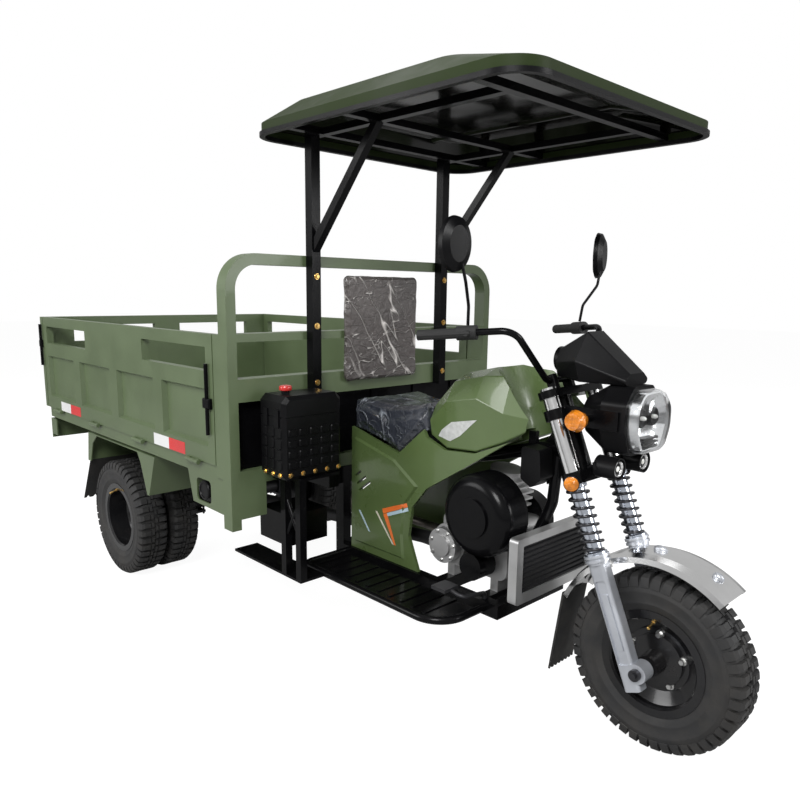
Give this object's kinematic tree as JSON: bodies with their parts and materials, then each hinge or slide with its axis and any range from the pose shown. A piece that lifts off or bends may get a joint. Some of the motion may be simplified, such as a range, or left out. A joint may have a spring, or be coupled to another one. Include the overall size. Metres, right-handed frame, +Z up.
{
  "type": "cargo tricycle",
  "caption": "Motorised cargo tricycle with a canopy over the rider, a steered front fork, twin rear wheels and a load bed with drop sides and tailgate.",
  "frame": {"origin": "on the ground under the middle of the overall length and width", "axes": "+X forward, +Y to the rider's left, +Z up"},
  "size_m": [3.64, 1.484, 2.067],
  "materials": {
    "green_paint": "gloss",
    "green_body": "gloss",
    "black_paint": "gloss",
    "black_plastic": "satin",
    "black_rubber": "matte",
    "tyre_rubber": "matte",
    "rim_black": "gloss",
    "chrome_bright": "polished",
    "leg_alloy": "satin",
    "engine_alloy": "cast",
    "spring_steel": "satin",
    "seat_leather": "satin",
    "lens_clear": "clear",
    "lens_amber": "clear",
    "lens_red": "clear",
    "core_black": "matte",
    "exhaust_steel": "satin",
    "dark_steel": "satin"
  },
  "bodies": {
    "frame": {"chassis_frame": "black_paint", "bed_floor": "green_paint", "headboard": "green_paint", "headboard_panel": "black_paint", "rear_fenders": "green_paint", "mud_flaps": "black_rubber", "tail_panel": "green_paint", "tail_lamps": "lens_red", "canopy_frame": "black_paint", "canopy_roof": "green_body", "canopy_trim": "black_plastic", "backrest": "seat_leather", "seat": "seat_leather", "fuel_tank": "green_body", "side_covers": "green_body", "footboards": "black_paint", "toolbox": "black_plastic", "toolbox_stand": "black_paint", "engine": "engine_alloy", "engine_covers": "black_paint", "radiator": "engine_alloy", "radiator_core": "core_black", "exhaust": "exhaust_steel", "foot_controls": "dark_steel", "rear_axle": "dark_steel", "leaf_springs": "spring_steel", "prop_shaft": "dark_steel", "canopy_liner": "black_plastic", "fan_shroud": "black_plastic", "neck_covers": "black_plastic"},
    "steering": {"fork_clamps": "black_paint", "fork_tubes": "chrome_bright", "fork_springs": "spring_steel", "fork_legs": "leg_alloy", "front_axle": "spring_steel", "front_mudguard": "chrome_bright", "front_mudflap": "black_rubber", "headlight_shell": "black_plastic", "headlight_lens": "lens_clear", "headlight_bracket": "black_paint", "turn_signals": "lens_amber", "instrument_cowl": "black_plastic", "spot_lamps": "black_plastic", "handlebar": "black_paint", "grips": "black_rubber", "mirrors": "black_plastic"},
    "front_wheel": {"front_tyre": "tyre_rubber", "front_rim": "rim_black"},
    "rear_wheels_right": {"rear_tyres_right": "tyre_rubber", "rear_rims_right": "rim_black"},
    "rear_wheels_left": {"rear_tyres_left": "tyre_rubber", "rear_rims_left": "rim_black"},
    "side_right": {"drop_side_right": "green_paint", "side_rail_right": "green_paint", "side_latch_right": "black_paint"},
    "side_left": {"drop_side_left": "green_paint", "side_rail_left": "green_paint", "side_latch_left": "black_paint"},
    "tail": {"tailgate": "green_paint", "tail_latches": "black_paint"}
  },
  "joints": [
    {"name": "steering_turn", "type": "hinge", "parent": "frame", "child": "steering", "pos_m": [1.16717, 0, 0.9545], "axis": [-0.3907, 0, 0.9205], "range_deg": [-38, 38]},
    {"name": "front_wheel_spin", "type": "hinge", "parent": "steering", "child": "front_wheel", "pos_m": [1.535, 0, 0.285], "axis": [0, 1, 0], "continuous": true},
    {"name": "rear_wheels_right_spin", "type": "hinge", "parent": "frame", "child": "rear_wheels_right", "pos_m": [-0.985, -0.54, 0.285], "axis": [0, 1, 0], "continuous": true},
    {"name": "rear_wheels_left_spin", "type": "hinge", "parent": "frame", "child": "rear_wheels_left", "pos_m": [-0.985, 0.54, 0.285], "axis": [0, 1, 0], "continuous": true},
    {"name": "side_right_drop", "type": "hinge", "parent": "frame", "child": "side_right", "pos_m": [-0.8385, -0.733, 0.748], "axis": [1, 0, 0], "range_deg": [0, 175]},
    {"name": "side_left_drop", "type": "hinge", "parent": "frame", "child": "side_left", "pos_m": [-0.8385, 0.733, 0.748], "axis": [-1, 0, 0], "range_deg": [0, 175]},
    {"name": "tailgate_drop", "type": "hinge", "parent": "frame", "child": "tail", "pos_m": [-1.811, 0, 0.748], "axis": [0, -1, 0], "range_deg": [0, 175]}
  ]
}
